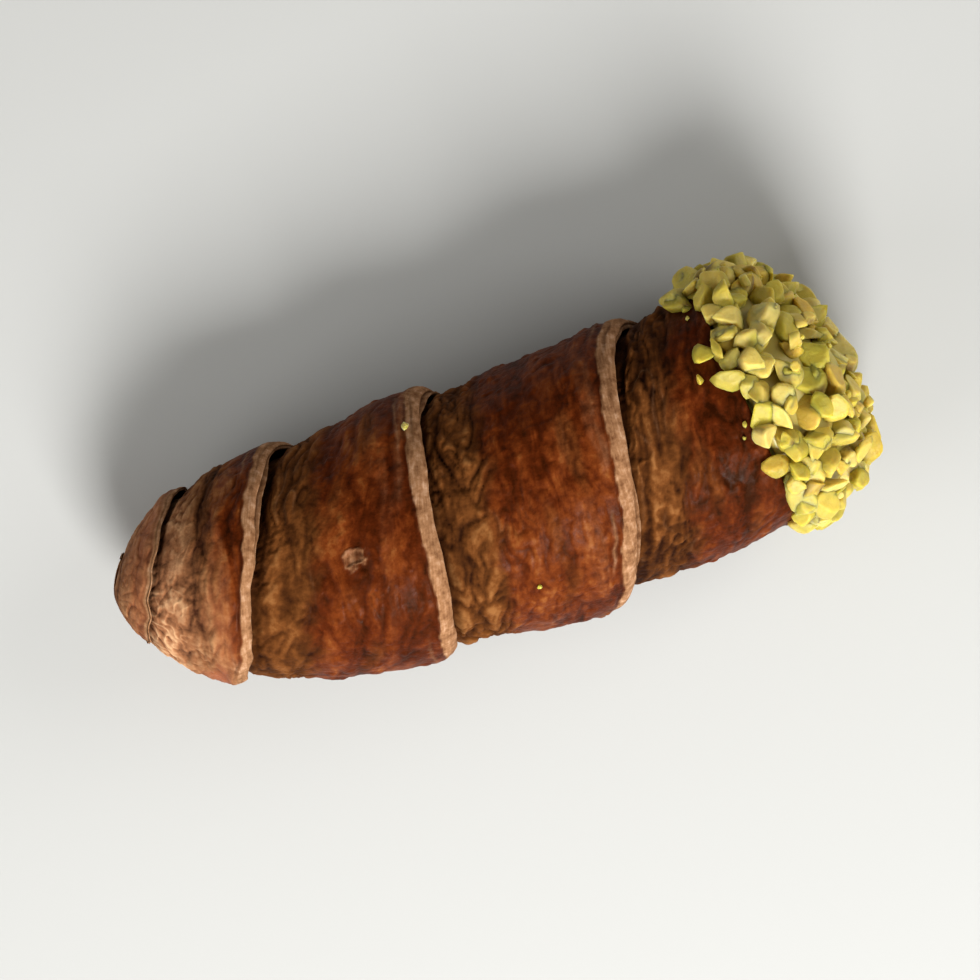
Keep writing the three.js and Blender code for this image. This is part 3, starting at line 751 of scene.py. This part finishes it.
def chopped(spots, outwards, sizes, sides):
    """Slices with that many sides, each turned to lie roughly flat on what carries it: points in
    millimetres, faces and attributes."""
    n, rings, level = len(spots), len(SLICE_RINGS), SLICE_RINGS[:, 1, None]
    at, kernel_side = slices(n, sides)
    up = unit(outwards + 0.45 * rng.normal(size=(n, 3)))
    side = unit(np.cross(up, rng.normal(size=(n, 3))))
    axes = np.stack([side, np.cross(up, side), up], 1)
    co = np.einsum("nrsk,nkj->nrsj", at, axes) * sizes[:, None, None, None] + spots[:, None, None]
    i, j = (g.ravel() for g in np.meshgrid(np.arange(rings - 1), np.arange(sides), indexing="ij"))
    after = (j + 1) % sides
    quads = np.stack([i * sides + j, (i + 1) * sides + j, (i + 1) * sides + after, i * sides + after], -1)
    caps = np.stack([np.arange(sides), (rings - 1) * sides + np.arange(sides)[::-1]])
    first = rings * sides * np.arange(n)[:, None, None]
    faces = (quads + first).reshape(-1, 4).tolist() + (caps + first).reshape(-1, sides).tolist()
    tint = np.broadcast_to(rng.random((n, 1, 1)), (n, rings, sides))
    skin = kernel_side[:, None] * (1 - level**4)
    papery = skin * (rng.random((n, 1, 1)) < PAPERY_SHARE)
    return co.reshape(-1, 3), faces, {"tint": tint, "skin": skin, "papery": papery}


def knob_spots(sizes, proud, crowding):
    """Spots for pieces on the knob, with outward directions and sizes: spread by the golden angle with
    most of the larger ones on the -Y side, then pushed apart until pieces of their sizes just crowd, and
    pulled back on to the knob's superellipsoid each time."""
    n = len(sizes)
    power = 2 / HEAD_FULLNESS
    u = (np.arange(n) + 0.5) / n
    angle = np.arange(n) * GOLDEN_ANGLE
    rank = (np.sin(angle) + 0.6 * rng.normal(size=n)).argsort().argsort()
    sizes = np.sort(sizes)[::-1][rank]
    flat = np.sqrt(1 - u * u)
    q = np.stack([HALF_BALL * u, HALF_BALL * np.cos(angle) * flat, HALF_BALL * np.sin(angle) * flat], -1)
    for _ in range(PUSHES):
        apart = q[:, None] - q[None]
        far = np.linalg.norm(apart, axis=2) + np.eye(n)
        want = crowding * (sizes[:, None] + sizes[None]) / 2
        push = np.clip(want - far, 0, None) / far * (1 - np.eye(n))
        q = q + 0.35 * (push[..., None] * apart).sum(1)
        q[:, 0] = np.maximum(q[:, 0], 0.05)
        spread = (q[:, 0] / HEAD_HEIGHT) ** power + (np.hypot(q[:, 1], q[:, 2]) / HEAD_RADIUS) ** power
        q = q / (spread ** (1 / power))[:, None]
    q = q + unit(q - np.array([HEART, 0, 0])) * proud[:, None]
    radius, angle = np.hypot(q[:, 1], q[:, 2]), np.arctan2(q[:, 1], q[:, 2])
    spots = place(HEAD_FROM + HEAD_COLLAR + q[:, 0], radius, angle)
    return spots, unit(spots - place(HEAD_FROM + HEART + 0 * u, 0 * u, angle)), sizes


def rim_spots(sizes, back, angle):
    """Spots on the pastry, with outward directions and sizes, from distances behind the rim and angles
    from the top towards +Y. Each lies on the highest point of the crust that is near the line out to it
    from the middle."""
    x = SHELL_LENGTH - back
    on_strip = np.minimum(x, SHELL_LENGTH - 0.3)
    middle = place(on_strip, 0 * x, angle)
    outward = unit(place(on_strip, 1 + 0 * x, angle) - middle)
    top = []
    for start, way in zip(middle, outward):
        away = every_point - start
        along = away @ way
        beside = np.linalg.norm(away - along[:, None] * way, axis=1)
        top.append(along[beside < NEAR_LINE].max())
    risen = (np.array(top) + RISEN * sizes)[:, None]
    return place(x, 0 * x, angle) + outward * risen, outward, sizes


def pieces(name, groups, sides, finish):
    """One joined mesh of chopped pieces from groups of spots, outward directions and sizes, kept off the
    floor."""
    spots, outs, sizes = (np.concatenate(column) for column in zip(*groups))
    spots[:, 2] = np.maximum(spots[:, 2], LOWEST_SHARE * sizes)
    co, faces, attributes = chopped(spots, outs, sizes, sides)
    co[:, 2] = np.maximum(co[:, 2], LOWEST)
    mesh = bpy.data.meshes.new(name)
    mesh.from_pydata((co * MM + SHIFT).tolist(), [], faces)
    add_attributes(mesh, attributes)
    mesh.shade_smooth()
    fit(mesh, finish, "pistachio_filling")


# Pistachio kernel, chopped: waxy, a little translucent, yellow on the cuts and greener along its own side.
kernel, tree, shader = material("pistachio_kernel", Roughness=0.48, IOR=1.45, Specular_IOR_Level=0.3,
                                Subsurface_Weight=0.7, Subsurface_Scale=1.8 * MM,
                                Subsurface_Radius=(1.0, 0.75, 0.3))
place_in = add(tree, "ShaderNodeTexCoord").outputs["Object"]
mask = {k: add(tree, "ShaderNodeAttribute", attribute_name=k).outputs["Fac"]
        for k in ("tint", "skin", "papery")}
ramp = add(tree, "ShaderNodeValToRGB", {"Fac": mask["tint"]},
           stops=[(0.0, "#c8b35f"), (0.25, "#c0a549"), (0.45, "#afa038"), (0.65, "#bc993d"),
                  (0.82, "#9f9230"), (1.0, "#c6b066")])
side_tone = add(tree, "ShaderNodeMix", {0: 0.75, 6: ramp.outputs[0], 7: linear("#8b8227")}, data_type="RGBA")
green = add(tree, "ShaderNodeMix", {0: mask["skin"], 6: ramp.outputs[0], 7: side_tone.outputs[2]},
            data_type="RGBA")
worn_skin = add(tree, "ShaderNodeMath", {0: mask["papery"], 1: 0.8}, operation="MULTIPLY")
sided = add(tree, "ShaderNodeMix", {0: worn_skin.outputs[0], 6: green.outputs[2], 7: linear("#5e3f2a")},
            data_type="RGBA")
mealy = add(tree, "ShaderNodeTexNoise", {"Vector": place_in, "Scale": 1 / (1.2 * MM), "Detail": 5.0})
mealy_range = add(tree, "ShaderNodeMapRange", {"Value": mealy.outputs[0], "From Min": 0.3, "From Max": 0.7,
                                               "To Min": 0.84, "To Max": 1.12})
varied = add(tree, "ShaderNodeMix", {0: 1.0, 6: sided.outputs[2], 7: mealy_range.outputs[0]},
             data_type="RGBA", blend_type="MULTIPLY")
tree.links.new(varied.outputs[2], shader.inputs["Base Color"])
grit = add(tree, "ShaderNodeTexNoise", {"Vector": place_in, "Scale": 1 / (0.6 * MM), "Detail": 4.0})
bump = add(tree, "ShaderNodeBump", {"Height": grit.outputs[0], "Distance": 0.14 * MM, "Strength": 1.0})
tree.links.new(bump.outputs[0], shader.inputs["Normal"])

large = rng.uniform(3.1, 5.3, 100)
middling = rng.uniform(2.3, 3.4, 100)
collar = rng.uniform(2.5, 3.8, 60)
collar_number = np.arange(len(collar))
collar_angle = TURN * (collar_number + rng.uniform(-0.4, 0.4, len(collar))) / len(collar)
collar_back = rng.uniform(-1.1, 0, len(collar)) - 1.6 * (collar_number % 2)
lapped = rng.uniform(2.2, 3.6, 9)
pieces("chopped_pistachios", [
    knob_spots(large, proud=rng.uniform(-0.1, 0.8, len(large)), crowding=0.74),
    knob_spots(middling, proud=rng.uniform(0.6, 1.7, len(middling)), crowding=0.86),
    rim_spots(collar, collar_back, collar_angle),
    rim_spots(lapped, back=rng.uniform(0.2, 1.9, len(lapped)),
              angle=np.radians(rng.normal(80, 50, len(lapped)))),
], sides=16, finish=kernel)


# ---- The crumbs of pistachio ----
# What the knife left of the same nuts, 0.5 to 2 mm. Most stick to the cream between the slices, a few to
# the pastry beside the rim, and two further back. They are made as the slices are, with fewer sides.
crumb = rng.uniform(0.9, 1.9, 90)
rim_crumb = rng.uniform(0.5, 1.2, 10)
wandered = np.array([1.1, 0.7])
pieces("pistachio_crumbs", [
    knob_spots(crumb, proud=rng.uniform(0.4, 2.0, len(crumb)), crowding=1.2),
    rim_spots(rim_crumb, back=3.5 * rng.random(len(rim_crumb)) ** 1.5,
              angle=np.radians(rng.normal(60, 60, len(rim_crumb)))),
    rim_spots(wandered, back=np.array([32.0, 24.5]), angle=np.radians([54.0, -38.0])),
], sides=8, finish=kernel)


# ---- Floor, light and camera ----
# A plain pale floor under a soft studio sky, one large lamp above the -Y side, a weak one beyond each end
# of the roll, and a camera that looks almost straight down. Places here are in metres, lamps in watts.
AIM = Vector((0.0, 0.0, 0.012))  # the roll's middle
floor_mesh = bpy.data.meshes.new("floor")
floor_mesh.from_pydata([(-1, -1, 0), (1, -1, 0), (1, 1, 0), (-1, 1, 0)], [], [(0, 1, 2, 3)])
floor = bpy.data.objects.new("floor", floor_mesh)
bpy.context.scene.collection.objects.link(floor)
paper, tree, shader = material("pale_floor", Roughness=0.8)
shader.inputs["Base Color"].default_value = linear("#a8a8a5")
floor_mesh.materials.append(paper)

world = bpy.data.worlds.new("studio")
world.use_nodes = True
sky = world.node_tree.nodes["Background"]
sky.inputs["Color"].default_value = linear("#f3f0ea")
sky.inputs["Strength"].default_value = 0.22
bpy.context.scene.world = world


def soft_light(name, position, size, power):
    """A square area light that faces the roll's middle."""
    lamp = bpy.data.lights.new(name, "AREA")
    lamp.size, lamp.energy = size, power
    holder = bpy.data.objects.new(name, lamp)
    holder.location = position
    holder.rotation_euler = (AIM - Vector(position)).to_track_quat("-Z", "Y").to_euler()
    bpy.context.scene.collection.objects.link(holder)


soft_light("key", (0.0, -0.36, 0.345), 0.22, 4.8)
soft_light("tail_side", (-0.4, -0.06, 0.25), 0.3, 1.2)
soft_light("mouth_side", (0.4, 0.04, 0.25), 0.3, 1.2)

VIEW_TILT = (math.radians(1.5), math.radians(5))  # the view leans this far to the mouth's side and to +Y
ROLL_RISE = math.radians(16.5)  # and is turned, so that the roll rises to the right
DISTANCE = 0.4
camera_data = bpy.data.cameras.new("camera")
camera_data.lens, camera_data.sensor_width = 150, 36
camera = bpy.data.objects.new("camera", camera_data)
back = Vector((math.tan(VIEW_TILT[0]), math.tan(VIEW_TILT[1]), 1)).normalized()
right = Vector((math.cos(ROLL_RISE), -math.sin(ROLL_RISE), 0))
right = (right - right.dot(back) * back).normalized()
up = back.cross(right)
turn = Matrix((right, up, back)).transposed()
camera.matrix_world = Matrix.Translation(AIM + back * DISTANCE) @ turn.to_4x4()
bpy.context.scene.collection.objects.link(camera)
bpy.context.scene.camera = camera
bpy.context.scene.view_settings.view_transform = "Standard"
